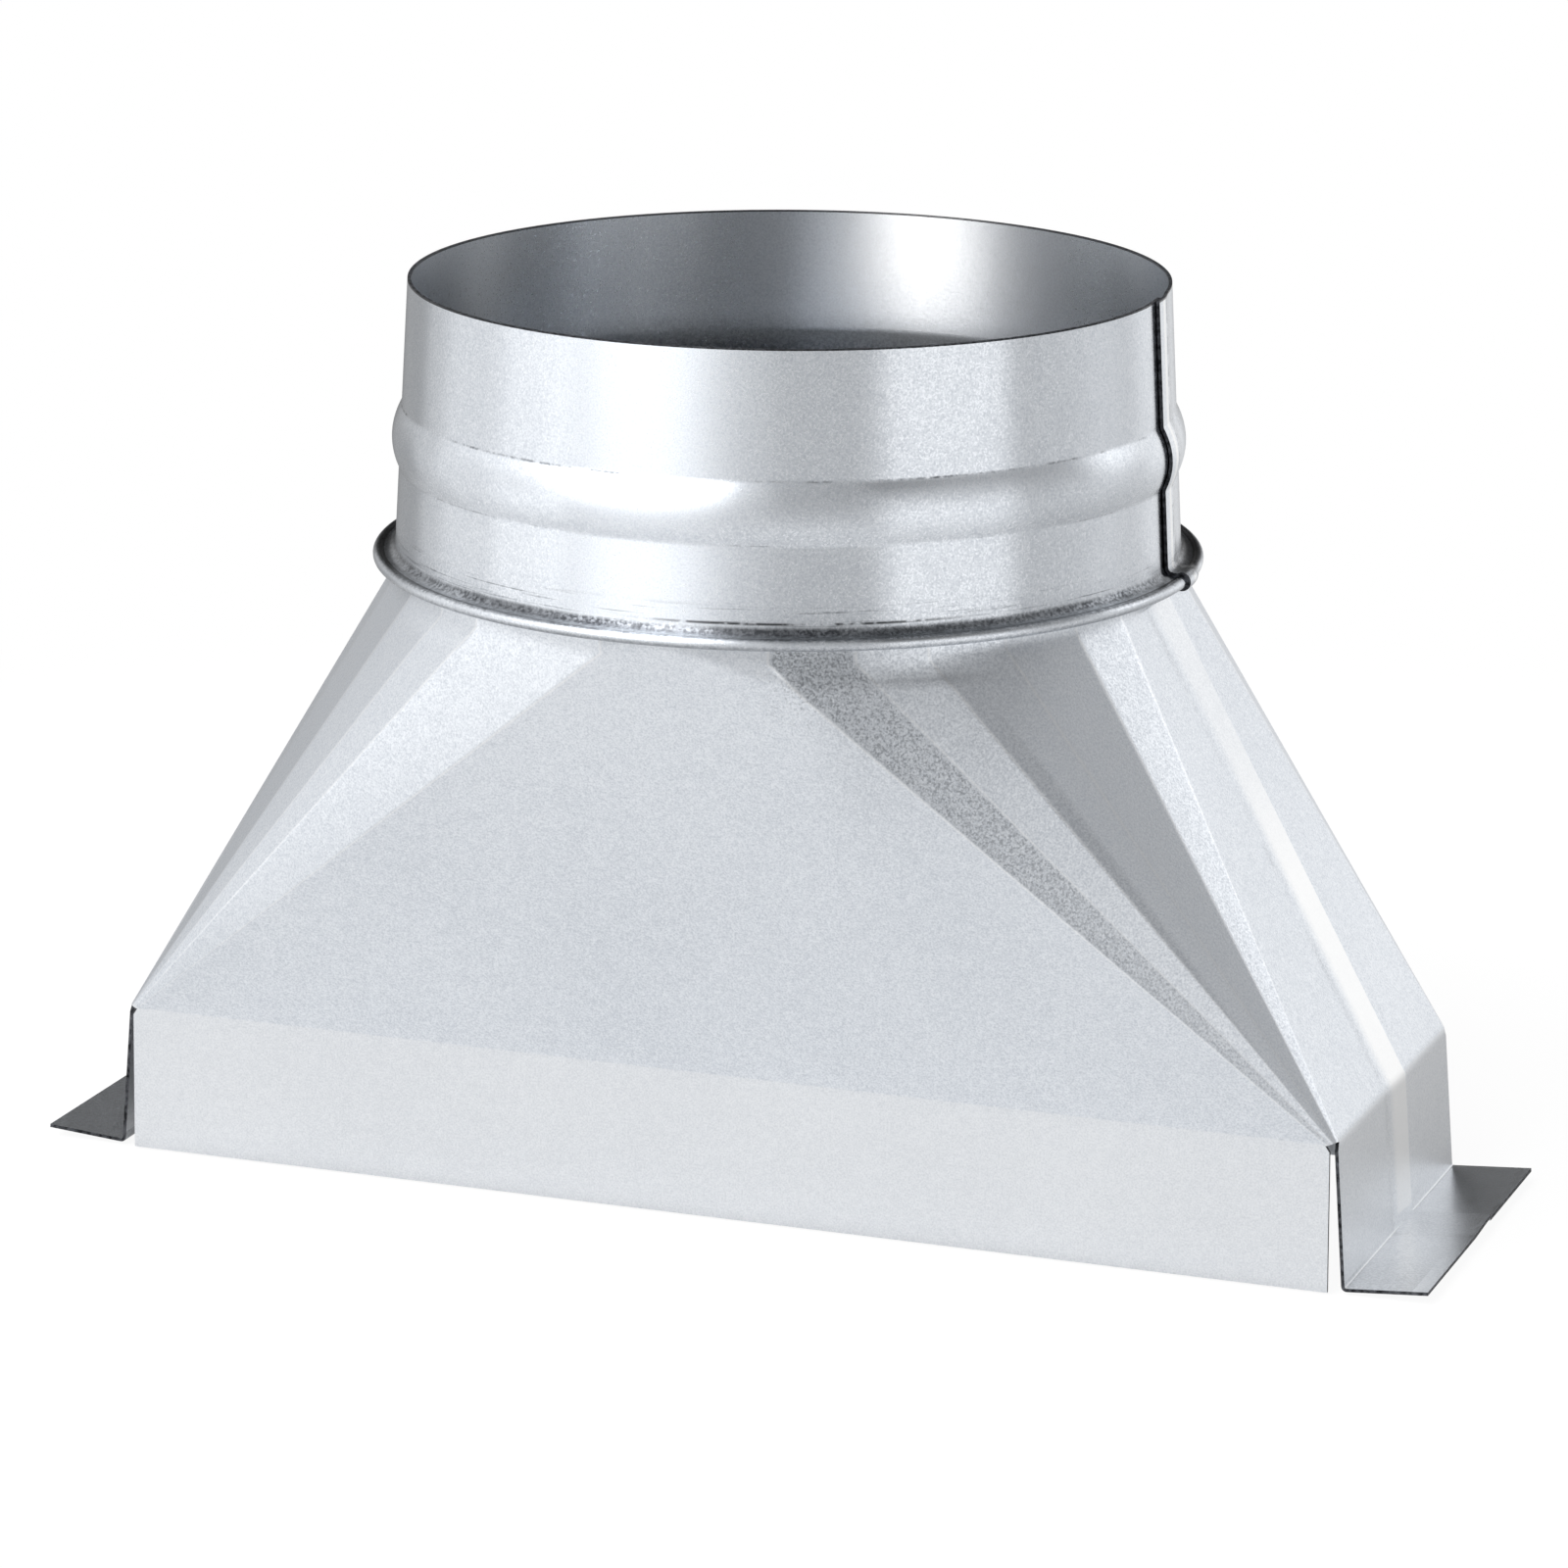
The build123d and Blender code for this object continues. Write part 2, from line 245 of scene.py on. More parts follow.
def collar_sheet():
    """The collar's sheet: rolled round, so its grain runs round it, with painted shade in its creases, under
    its rim and roll and inside, painted highlights beside the lap and inside, and a darker foot.
    """
    material = bpy.data.materials.new("collar_sheet")
    material.use_nodes = True
    nodes = Nodes(material.node_tree)
    coordinates = nodes.add("ShaderNodeTexCoord").outputs
    place = coordinates["Object"]
    x, y, z = nodes.add("ShaderNodeSeparateXYZ", {0: place}).outputs
    from_axis = nodes.add("ShaderNodeCombineXYZ", {0: x, 1: y}).outputs[0]
    radius = nodes.add("ShaderNodeVectorMath", {0: from_axis}, operation="LENGTH").outputs["Value"]
    turn = nodes.math("MULTIPLY", nodes.math("ARCTAN2", y, x), 180 / pi)
    round_way = nodes.add("ShaderNodeCombineXYZ", {
        0: nodes.math("MULTIPLY", x, 45.0), 1: nodes.math("MULTIPLY", y, 45.0),
        2: nodes.math("MULTIPLY", z, 2200.0),
    }).outputs[0]

    # the sheet's outer face is beyond the wall's middle and looks away from the axis
    wall_radius = nodes.total([(z, -tan(TAPER)), (1.0, (RIM_RADIUS + COLLAR_HEIGHT * tan(TAPER)) * MM)])
    beyond_wall = nodes.math("GREATER_THAN", nodes.math("SUBTRACT", radius, wall_radius), -0.0003)
    facing = nodes.add("ShaderNodeVectorMath", {0: coordinates["Normal"], 1: from_axis},
                       operation="DOT_PRODUCT").outputs["Value"]
    looks_out = nodes.math("GREATER_THAN", facing, -0.004)
    outside = nodes.math("MULTIPLY", beyond_wall, looks_out)
    inside = nodes.math("SUBTRACT", 1.0, outside)

    # painted shade in the creases of the bead, in the ring's fold, under the hem's roll and under the rim; a
    # darker patchy foot, rubbed marks and a scored line along the lap
    # painted shade: dark dashed lines in the bead's creases
    crease_top = nodes.line(z, (COLLAR_HEIGHT - BEAD_TOP + 0.05) * MM, 0.00018, 0.00018)
    crease_low = nodes.line(z, (COLLAR_HEIGHT - BEAD_TOP - BEAD_LENGTH) * MM, 0.00012, 0.00014)
    painted_crease_shade = nodes.all_of(nodes.most_of(crease_top, nodes.math("MULTIPLY", crease_low, 0.6)),
                           nodes.patchy(place, 55.0, 0.47, 0.62), nodes.patchy(place, 480.0, 0.36, 0.56), 0.9)
    foot = nodes.all_of(nodes.between(z, (FLANGE_TOP - 0.05) * MM, (FLANGE_TOP + 1.5) * MM, 0.0005),
                        nodes.total([(nodes.patchy(place, 60.0, 0.40, 0.60), 0.20), (0.78, 1.0)]))
    # painted shade in the fold of the ring
    ring_crease = nodes.all_of(nodes.line(radius, (HEM_RADIUS - 1.9) * MM, 0.0002, 0.0002),
                               nodes.math("LESS_THAN", z, (HEM_HEIGHT + HEM_ROLL) * MM),
                               nodes.math("GREATER_THAN", z, HEM_HEIGHT * MM), 0.85)
    roll_shade = nodes.all_of(
        nodes.between(z, (HEM_HEIGHT - HEM_ROLL) * MM, (HEM_HEIGHT - 0.25) * MM, 0.0005), 0.42)
    foot = nodes.most_of(foot, ring_crease, roll_shade)
    rubbed = nodes.all_of(nodes.between(z, FLANGE_TOP * MM, (FLANGE_TOP + 5.5) * MM, 0.001),
                          nodes.patchy(round_way, 1.0, 0.56, 0.66), 0.55)
    # painted shade: darkens the wall just under the rim, widening the dark edge line
    rim = nodes.math("GREATER_THAN", z, (COLLAR_HEIGHT - 0.32) * MM)
    scored = nodes.all_of(nodes.line(turn, LAP_FROM + 4.2, 0.35, 0.4),
                          nodes.patchy(place, 260.0, 0.42, 0.50), 0.7)
    outer_grime_and_shade = nodes.all_of(nodes.most_of(painted_crease_shade, foot, rubbed, rim, scored), outside)

    # inside, painted shade darkens the wall low down and on the side that the front hides from the light, and
    # a painted highlight lightens it where the light falls in
    in_the_dark = nodes.all_of(inside, nodes.between(turn, -60, 26, 9), 0.40)
    low_down = nodes.all_of(inside, nodes.between(z, 0.100, 0.156, 0.007), 0.80)
    facing_light = nodes.all_of(inside, nodes.between(turn, 80, 98, 24), nodes.between(z, 0.160, 0.200, 0.016))

    pinched_line = nodes.all_of(
        nodes.line(z, (FLANGE_TOP + 2.3) * MM, 0.00022, 0.00022), nodes.between(turn, -88, -48, 9),
        nodes.patchy(place, 210.0, 0.36, 0.50), nodes.patchy(round_way, 0.5, 0.30, 0.48), 0.95, outside)
    # painted shade: darkens the foot where the bright light falls on it
    foot_in_light = nodes.all_of(foot, nodes.between(turn, -122, -64, 14), outside, 0.72)
    # near black: a patchy line on the foot, with painted shade on the lit foot, deep inside and under the rim
    black_and_painted_shade = nodes.most_of(pinched_line, foot_in_light, nodes.math("MULTIPLY", low_down, 0.9),
                         nodes.math("MULTIPLY", rim, 0.8))
    # painted highlight: a pale line beside the lap's edge
    painted_lap_highlight = nodes.all_of(nodes.line(turn, LAP_FROM + 2.6, 0.5, 0.6), outside)
    shader = zinc_coat(
        nodes, place, nodes.most_of(outer_grime_and_shade, in_the_dark, low_down), waviness=18.0, matt=0.33, gloss=0.27,
        relief=0.04, spread=0.96, pale_and_highlight=nodes.most_of(painted_lap_highlight, facing_light), black_and_painted_shade=black_and_painted_shade,
        dull=nodes.math("MULTIPLY", facing_light, 0.16))
    across = nodes.add("ShaderNodeVectorMath", {0: place, 1: (0.0, 0.0, 1.0)}, operation="CROSS_PRODUCT")
    nodes.tree.links.new(across.outputs[0], shader.inputs["Tangent"])
    shader.inputs["Anisotropic Rotation"].default_value = 0.25
    return material


def cut_edge():
    """The bare sheared edge of the sheet, nearly black: its own dark steel, darkened further by painted shade.
    """
    material = bpy.data.materials.new("cut_edge")
    material.use_nodes = True
    nodes = Nodes(material.node_tree)
    place = nodes.add("ShaderNodeTexCoord").outputs["Object"]
    burr = nodes.add("ShaderNodeTexNoise", {"Vector": place, "Scale": 900.0, "Detail": 3.0})
    # nearly black: painted shade along the sheet's edge
    colour = nodes.ramp(burr.outputs["Fac"], [(0.35, EDGE_AND_SHADE_DARK), (0.70, EDGE_GREY)])
    shader = nodes.add("ShaderNodeBsdfPrincipled", {"Base Color": colour, "Metallic": 1.0, "Roughness": 0.5})
    nodes.add("ShaderNodeOutputMaterial", {"Surface": shader.outputs["BSDF"]})
    return material


BODY_FINISH, COLLAR_FINISH, EDGE_FINISH = galvanised_sheet(), collar_sheet(), cut_edge()


# ---- sheet pieces

SHARPEST_SMOOTH = radians(42)


def polar(radius, angle, height):
    return Vector((radius * cos(radians(angle)), radius * sin(radians(angle)), height))


def along(a, b, share):
    return a + (b - a) * share


def extrude_to(bm, edges, number, places):
    """Extrudes a row of edges. Each new point goes to the place of its number."""
    made = bmesh.ops.extrude_edge_only(bm, edges=edges)["geom"]
    for vert in made:
        if isinstance(vert, bmesh.types.BMVert):
            vert.co = places[vert[number]]
    return [edge for edge in made if isinstance(edge, bmesh.types.BMEdge)
            and all(vert in made for vert in edge.verts)]


def sheet_piece(name, bm, finish, front_first):
    """Gives the folded surface its thickness, inwards, and dark cut edges.

    The face that front_first puts first is one in front that has to look to the front.
    """
    bmesh.ops.recalc_face_normals(bm, faces=bm.faces)
    front = min(bm.faces, key=front_first)
    if front.normal.y > 0:
        bmesh.ops.reverse_faces(bm, faces=bm.faces)
    bmesh.ops.scale(bm, vec=(MM, MM, MM), verts=bm.verts)
    mesh = bpy.data.meshes.new(name)
    bm.to_mesh(mesh)
    bm.free()
    piece = bpy.data.objects.new(name, mesh)
    bpy.context.scene.collection.objects.link(piece)
    mesh.materials.append(finish)
    mesh.materials.append(EDGE_FINISH)
    wall = piece.modifiers.new("thickness", "SOLIDIFY")
    wall.thickness, wall.offset = SHEET * MM, -1
    wall.use_even_offset = wall.use_quality_normals = wall.use_rim = True
    wall.material_offset_rim = 1
    solid = bpy.data.meshes.new_from_object(piece.evaluated_get(bpy.context.evaluated_depsgraph_get()))
    piece.modifiers.clear()
    piece.data = solid
    solid.name = name
    done = bmesh.new()
    done.from_mesh(solid)
    for face in done.faces:
        face.smooth = True
    for edge in done.edges:
        edge.smooth = len(edge.link_faces) == 2 and edge.calc_face_angle() < SHARPEST_SMOOTH
    done.to_mesh(solid)
    done.free()
    weigh = piece.modifiers.new("flat_panels", "WEIGHTED_NORMAL")
    weigh.keep_sharp = True
    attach(piece, "root")
    return piece


# ---- transition body

CORNER_SOFTNESS = 1.5
FOLD_SOFTNESS = 0.9
POINTS_PER_FOLD = 3
PANEL_SHARES = (0.2, 0.36, 0.5, 0.64, 0.8)
DRAWN_FROM, DRAWN_TO = 0.92, 1.0
SLOPE_SHARES = (0.012, 0.03, 0.25, 0.5, 0.75, 0.94, 0.96, 0.98, 1.0)
DRAWN_ABOVE, NECK_GAP = 105, 0.4
# the rows round the neck and the lip: radius, height and share of the seam's rise
NECK_ROWS = (
    (NECK_RADIUS + 0.15, 124.6, 0.8),
    (NECK_RADIUS, NECK_HEIGHT, 0.6),
    (NECK_RADIUS, LIP_BOTTOM - LIP_BEND, 0.5),
    (NECK_RADIUS + 0.3 * LIP_BEND, LIP_BOTTOM - 0.3 * LIP_BEND, 0),
    (NECK_RADIUS + LIP_BEND, LIP_BOTTOM, 0),
    (LIP_RADIUS, LIP_BOTTOM, 0),
)
SKIRT_BEND, FLANGE_STEPS = 1.4, 5


def fold_ends():
    """Where the folds end under the neck, by corner, from the front right counter-clockwise."""
    height = FOLD_RING_HEIGHT
    right = [polar(FOLD_RING_RADIUS, a, height) for a in RIGHT_FOLDS[:-1]]
    right.append(polar(LONG_PANEL_REACH / sin(radians(RIGHT_FOLDS[-1])), RIGHT_FOLDS[-1], height))
    left = [polar(LONG_PANEL_REACH / sin(radians(LEFT_FOLDS[0])), LEFT_FOLDS[0], height)]
    left += [polar(FOLD_RING_RADIUS, a, height) for a in LEFT_FOLDS[1:]]
    front_right = [Vector((p.x, -p.y, p.z)) for p in reversed(right)]
    front_left = [Vector((p.x, -p.y, p.z)) for p in reversed(left)]
    return [front_right, right, left, front_left]


def panel_lines():
    """The lines up the sloping sheet, as feet on the mouth's fold and heads at the neck.

    Also where each side's feet start and stop, and which lines are folds.
    """
    fans = fold_ends()
    ring = [p for fan in fans for p in fan]
    signs = [(1, -1), (1, 1), (-1, 1), (-1, -1)]
    feet, heads, sides, folds = [], [], [], []
    for c, (fan, (sx, sy)) in enumerate(zip(fans, signs)):
        corner = HALF_LENGTH - CORNER_SOFTNESS, HALF_WIDTH - CORNER_SOFTNESS
        centre = Vector((sx * corner[0], sy * corner[1], FOLD_HEIGHT))
        total = POINTS_PER_FOLD * len(fan) - 1

        def on_corner(step):
            return centre + polar(CORNER_SOFTNESS, 90 * (c - 1) + 90 * step / total, 0)

        for i, end in enumerate(fan):
            k = c * len(fan) + i
            before, after = ring[k - 1], ring[(k + 1) % len(ring)]
            a = end + (before - end).normalized() * FOLD_SOFTNESS
            b = end + (after - end).normalized() * FOLD_SOFTNESS
            folds.append(len(feet) + 1)
            for j, head in enumerate((a, (a + 2 * end + b) / 4, b)):
                feet.append(on_corner(POINTS_PER_FOLD * i + j))
                heads.append(head)
            if i + 1 < len(fan):
                feet.append(on_corner(POINTS_PER_FOLD * (i + 1) - 0.5))
                heads.append((end + after) / 2)
        start = len(feet) - 1
        end, after = fan[-1], fans[(c + 1) % 4][0]
        low_from = feet[-1].copy()
        across = (1, -1) if c % 2 == 0 else (-1, 1)
        low_to = Vector((low_from.x * across[0], low_from.y * across[1], FOLD_HEIGHT))

        def add_plain(shares):
            for share in shares:
                feet.append(along(low_from, low_to, share))
                heads.append(along(end, after, share))

        if c == 0:
            add_plain((0.12, 0.22))
            for y in (SEAM_FROM - 1.5, SEAM_FROM, SEAM_FROM + 1.5, 1.0, 5.0, SEAM_TO, SEAM_TO + 0.35):
                feet.append(Vector((HALF_LENGTH, y, FOLD_HEIGHT)))
                heads.append(Vector((end.x, y, FOLD_RING_HEIGHT)))
            add_plain((0.78, 0.9))
        else:
            add_plain(PANEL_SHARES)
        sides.append((start, len(feet)))
    return feet, heads, sides, folds


def drawn_in(point, share):
    """Draws a point of the front or back panel in towards the neck, by the share of its way there."""
    away = point.xy.length
    if away < NECK_RADIUS + NECK_GAP or point.z < DRAWN_ABOVE or abs(point.x) > abs(point.y):
        return point
    drawn = point.copy()
    drawn.xy *= 1 - share**2 * (away - NECK_RADIUS - NECK_GAP) / away
    return drawn


def seam_lift(point):
    """How far the flattened seam stands off the sheet at this point."""
    if point.x < 60 or not SEAM_FROM < point.y < SEAM_TO + 0.1:
        return 0.0
    share = (point.y - SEAM_FROM) / (SEAM_TO - SEAM_FROM)
    return SEAM_RISE * share * (1.0 if share > 0.2 else 0.6 + 2 * share)


def side_profile(is_end):
    """A skirt's section below the mouth's fold: outward, down and how far it has turned level."""
    if not is_end:
        return [(0.0, SKIRT_BEND, 0), (0.0, SKIRT_DEPTH, 0)]
    straight = END_DEPTH - OUTER_BEND
    profile = [(length * sin(FLARE), length * cos(FLARE), 0) for length in (SKIRT_BEND, straight)]
    base = Vector(profile[-1][:2])
    centre = base + Vector((FLANGE_BEND * cos(FLARE), -FLANGE_BEND * sin(FLARE)))
    for i in range(1, FLANGE_STEPS + 1):
        turn = radians(180 + 90 * i / FLANGE_STEPS) + FLARE
        x, z = centre.x + FLANGE_BEND * cos(turn), centre.y - FLANGE_BEND * sin(turn)
        profile.append((x, z, i / FLANGE_STEPS))
    reach = FLANGE_WIDTH - FLANGE_BEND
    return profile + [(x + reach * cos(FLARE), z - reach * sin(FLARE), 1)]


def transition_body():
    """Folds the body: from the mouth's fold up to the lip, then each side's skirt down from it."""
    feet, heads, sides, folds = panel_lines()
    count = len(feet)
    bm = bmesh.new()
    number = bm.verts.layers.int.new("number")
    marks = bm.verts.layers.float_color.new("marks")
    verts = [bm.verts.new(p) for p in feet]
    for i, vert in enumerate(verts):
        vert[number] = i
    ring = [bm.edges.new((verts[i], verts[(i + 1) % count])) for i in range(count)]
    edges = ring
    end_slope = Vector((FOLD_RING_HEIGHT - FOLD_HEIGHT, 0, HALF_LENGTH - heads[sides[0][0]].x)).normalized()

    def mark(row, share):
        """Marks the stippled facet in red, the folds in green for their painted highlight and the strip of
        painted fold shade in blue.
        """
        for vert in {vert for edge in row for vert in edge.verts}:
            stippled = folds[0] < vert[number] < folds[1]
            shaded = vert[number] in (folds[2], folds[2] + 1)
            vert[marks] = (0.3 + 0.7 * share if stippled else 0.0, 1.0 if vert[number] in folds else 0.0,
                           shaded * share, 1.0)

    for vert in verts:
        vert.co += end_slope * seam_lift(vert.co)
        # the mouth's fold gets the painted fold highlight too
        vert[marks] = (0.0, 0.8, 0.0, 1.0)
    for share in SLOPE_SHARES:
        drawn = max(0.0, (share - DRAWN_FROM) / (DRAWN_TO - DRAWN_FROM))
        row = [drawn_in(along(a, b, share), drawn) for a, b in zip(feet, heads)]
        edges = extrude_to(bm, edges, number, [p + end_slope * seam_lift(p) for p in row])
        mark(edges, share)
    for radius, height, lift in NECK_ROWS:
        row = []
        for head in heads:
            r = min(radius, head.xy.length + 0.45) if height < NECK_HEIGHT else radius
            row.append(polar(r + lift * seam_lift(head), degrees(atan2(head.y, head.x)), height))
        edges = extrude_to(bm, edges, number, row)

    for s, (start, stop) in enumerate(sides):
        is_end = s % 2 == 0
        edges = [ring[i % count] for i in range(start, stop)]
        columns = [i % count for i in range(start, stop + 1)]
        out = Vector((1 - s, 0, 0)) if is_end else Vector((0, 2 - s, 0))
        flare = FLARE if is_end else 0.0
        for k, (outward, down, turned) in enumerate(side_profile(is_end)):
            slit = SLIT_EDGE + (SLIT_TOP if k == 0 else 0)
            face_out = out * cos(flare) + Vector((0, 0, sin(flare)))
            face_out = face_out * (1 - turned) + Vector((0, 0, 1)) * turned
            places = {}
            for i in columns:
                p = feet[i].copy()
                if i in (columns[0], columns[-1]):
                    if is_end:
                        p.y = (HALF_WIDTH - slit) * (1 if p.y > 0 else -1)
                    else:
                        p.x = (HALF_LENGTH - slit) * (1 if p.x > 0 else -1)
                places[i] = p + out * outward - Vector((0, 0, down)) + face_out * seam_lift(p)
            edges = extrude_to(bm, edges, number, places)
    piece = sheet_piece("folded_body", bm, BODY_FINISH, lambda face: face.calc_center_median().y)
    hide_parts("transition_body")


# ---- collar

COLLAR_STEPS, FOOT_STEPS, ROLL_STEPS = 242, 6, 14
BEAD_SHARES = (-1.08, -1.04, -1, -0.96, -0.92, *[i / 10 for i in range(-8, 9)], 0.92, 0.96, 1, 1.04, 1.08)
BEAD_EDGE, BEAD_RUN_OUT = 0.92, 1.08


def bead_rise(share):
    """The bead's height over the wall: round on top, with a hollow run-out at each edge."""
    share = abs(share)
    if share < BEAD_EDGE:
        return BEAD_RISE * (1 - share**2)
    return BEAD_RISE * 0.154 * ((BEAD_RUN_OUT - share) / (BEAD_RUN_OUT - BEAD_EDGE)) ** 2


def collar_section():
    """The collar's outer surface from the rim down: points, ways out, and which are in the hem."""
    points = []

    def on_wall(down, out=0.0):
        return Vector((RIM_RADIUS + down * tan(TAPER) + out, COLLAR_HEIGHT - down))

    foot_drop = COLLAR_HEIGHT - FLANGE_TOP - FOOT_RADIUS
    points += [on_wall(down) for down in (0, 0.6, 6, 12, 17.5)]
    for share in BEAD_SHARES:
        points.append(on_wall(BEAD_TOP + (1 + share) * BEAD_LENGTH / 2, bead_rise(share)))
    points += [on_wall(down) for down in (40.5, 45, foot_drop - 2)]
    foot_centre = on_wall(foot_drop) + Vector((FOOT_RADIUS, 0))
    for i in range(FOOT_STEPS + 1):
        turn = radians(180 + 90 * i / FOOT_STEPS)
        points.append(foot_centre + FOOT_RADIUS * Vector((cos(turn), sin(turn))))
    roll_centre = Vector((HEM_RADIUS - HEM_ROLL, HEM_HEIGHT))
    rise = FLANGE_TOP - HEM_HEIGHT
    crease = degrees(atan2(rise, -sqrt(HEM_ROLL**2 - rise**2)))
    for i in range(ROLL_STEPS + 1):
        turn = radians(crease + (-90 - crease) * i / ROLL_STEPS)
        points.append(roll_centre + HEM_ROLL * Vector((cos(turn), sin(turn))))
    points += [Vector((HEM_INNER_RADIUS + in_by, HEM_HEIGHT - HEM_ROLL)) for in_by in (0.8, 0.0)]
    outward = []
    for i in range(len(points)):
        run = (points[min(i + 1, len(points) - 1)] - points[max(i - 1, 0)]).normalized()
        outward.append(Vector((-run.y, run.x)))
    in_hem = [p.y < FLANGE_TOP + 0.3 for p in points]
    return points, outward, in_hem


def lap_offsets(turned, whole):
    """How far the two layers of the lap stand off, on the wall and on the hem."""
    def eased(travel):
        share = min(1.0, max(0.0, 1 - (travel - (LAP_TO - LAP_FROM)) / LAP_RUN_OUT))
        return share**2 * (3 - 2 * share)

    inner, outer = eased(turned), eased(whole - turned)
    return (0.75 * outer - 0.5 * inner) * SHEET, outer * SHEET


def collar():
    """Rolls the collar: its section is turned once round and laps over its own start."""
    points, outward, in_hem = collar_section()
    bm = bmesh.new()
    number = bm.verts.layers.int.new("number")
    whole = 360 + LAP_TO - LAP_FROM

    def row_at(step):
        turned = whole * step / COLLAR_STEPS
        wall_out, hem_out = lap_offsets(turned, whole)
        places = []
        for p, out, hem in zip(points, outward, in_hem):
            q = p + out * (hem_out if hem else wall_out)
            places.append(polar(q.x, LAP_TO - turned, q.y))
        return places

    def wall_in_front(face):
        centre = face.calc_center_median()
        return centre.y + abs(centre.z - 170) * 10

    verts = [bm.verts.new(p) for p in row_at(0)]
    for i, vert in enumerate(verts):
        vert[number] = i
    edges = [bm.edges.new(pair) for pair in zip(verts, verts[1:])]
    for step in range(1, COLLAR_STEPS + 1):
        edges = extrude_to(bm, edges, number, row_at(step))
    piece = sheet_piece("rolled_collar", bm, COLLAR_FINISH, wall_in_front)
    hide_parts("collar")


transition_body()
collar()


# ---- studio

# What the sheet mirrors: cards round the boot, by bearing from the front towards the right and
# by height, in degrees, each with its half-width, half-height, soft border and brightness.
CARDS = (
    ("back_left_dark", -169, 24, 25, 22, 10, 0.02),
    ("left_wall", -84, 0, 18, 60, 10, 0.95),
    ("left_high_softbox", -98, 50, 26, 24, 12, 1.60),
    ("left_back_high_softbox", -138, 54, 16, 20, 12, 2.20),
    ("front_left_softbox", -40, 4, 28, 20, 10, 0.66),
    ("front_left_table", -38, -34, 30, 18, 8, 0.86),
    ("front_left_low_softbox", -61, -16, 13, 14, 10, 1.50),
    ("front_left_high_softbox", -40, 52, 30, 25, 34, 4.60),
    ("right_high_shade", 86, 54, 40, 26, 12, 0.12),
    ("front_right_softbox", 68, -5, 20, 20, 10, 1.32),
    ("camera_side_shade", 27, -10, 17, 18, 7, 0.68),
    ("camera_shade", 28, 30, 14, 32, 7, 0.48),
    ("right_low_shade", 112, -10, 14, 14, 14, 0.80),
    ("right_shade", 96, 30, 24, 14, 12, 0.42),
    ("right_high_softbox", 138, 24, 14, 14, 10, 1.60),
    ("back_right_softbox", 162, 9, 18, 20, 12, 1.05),
    ("left_back_shade", -140, -12, 24, 15, 8, 0.38),
    ("far_left_shade", -155, -12, 11, 15, 8, 0.28),
)
OPEN_STUDIO = 0.70
NARROWEST_PART, EYE_LEVEL = 90.0, 15.0
# UNDER_MOUTH is the floor's dim glow under the mouth: painted shadow
FLOOR_REACH, SHADOW_SHARE, UNDER_MOUTH = 0.40, 0.08, 0.08
BOOT_MIDDLE = Vector((0, 0, 0.09))


def studio_floor():
    """A pale floor: nearly white to the camera, dimmer where the sheet mirrors it, with painted shadow behind
    the boot and under its mouth.
    """
    bm = bmesh.new()
    bmesh.ops.create_grid(bm, x_segments=1, y_segments=1, size=6.0)
    mesh = bpy.data.meshes.new("floor")
    bm.to_mesh(mesh)
    bm.free()
    floor = bpy.data.objects.new("floor", mesh)
    bpy.context.scene.collection.objects.link(floor)
    material = bpy.data.materials.new("pale_floor")
    material.use_nodes = True
    nodes = Nodes(material.node_tree)
    rays = nodes.add("ShaderNodeLightPath").outputs
    camera, mirrored = rays["Is Camera Ray"], rays["Is Glossy Ray"]
    place = nodes.add("ShaderNodeTexCoord").outputs["Object"]
    x, y, z = nodes.add("ShaderNodeSeparateXYZ", {0: place}).outputs
    away = nodes.add("ShaderNodeVectorMath", {0: place}, operation="LENGTH").outputs["Value"]
    near = nodes.window(away, FLOOR_REACH, 0.08)

    in_length = nodes.window(nodes.math("ABSOLUTE", x, 0.0), HALF_LENGTH * MM, 0.02)
    in_width = nodes.window(nodes.math("ABSOLUTE", y, 0.0), HALF_WIDTH * MM, 0.01)
    under_mouth = nodes.math("MULTIPLY", in_length, in_width)
    # painted shadow: the floor glows dimmer behind the boot and under its mouth
    table_with_painted_shadow = nodes.total([(nodes.window(y, 0.0, 0.05), 0.35), (0.35, 1.0)])
    table = nodes.add("ShaderNodeMix", {"Factor": under_mouth, "A": table_with_painted_shadow, "B": UNDER_MOUTH}).outputs[0]
    level = nodes.add("ShaderNodeMix", {"Factor": camera, "A": table, "B": 1.0}).outputs[0]

    matt = nodes.add("ShaderNodeBsdfDiffuse", {"Color": (0.86, 0.86, 0.86, 1)}).outputs[0]
    glow = nodes.add("ShaderNodeEmission", {"Color": (1, 1, 1, 1), "Strength": level}).outputs[0]
    # only near the boot does the camera's white leave room for its shadow
    camera_share = nodes.math("SUBTRACT", 1.0, nodes.math("MULTIPLY", near, SHADOW_SHARE))
    glowing = nodes.math("ADD", nodes.math("MULTIPLY", camera, camera_share),
                         nodes.math("MULTIPLY", mirrored, 0.70))
    pale = nodes.add("ShaderNodeMixShader", {0: glowing, 1: matt, 2: glow}).outputs[0]
    far = nodes.math("MULTIPLY", nodes.math("SUBTRACT", 1.0, near), mirrored)
    clear = nodes.add("ShaderNodeBsdfTransparent").outputs[0]
    mixed = nodes.add("ShaderNodeMixShader", {0: far, 1: pale, 2: clear}).outputs[0]
    nodes.add("ShaderNodeOutputMaterial", {"Surface": mixed})
    mesh.materials.append(material)


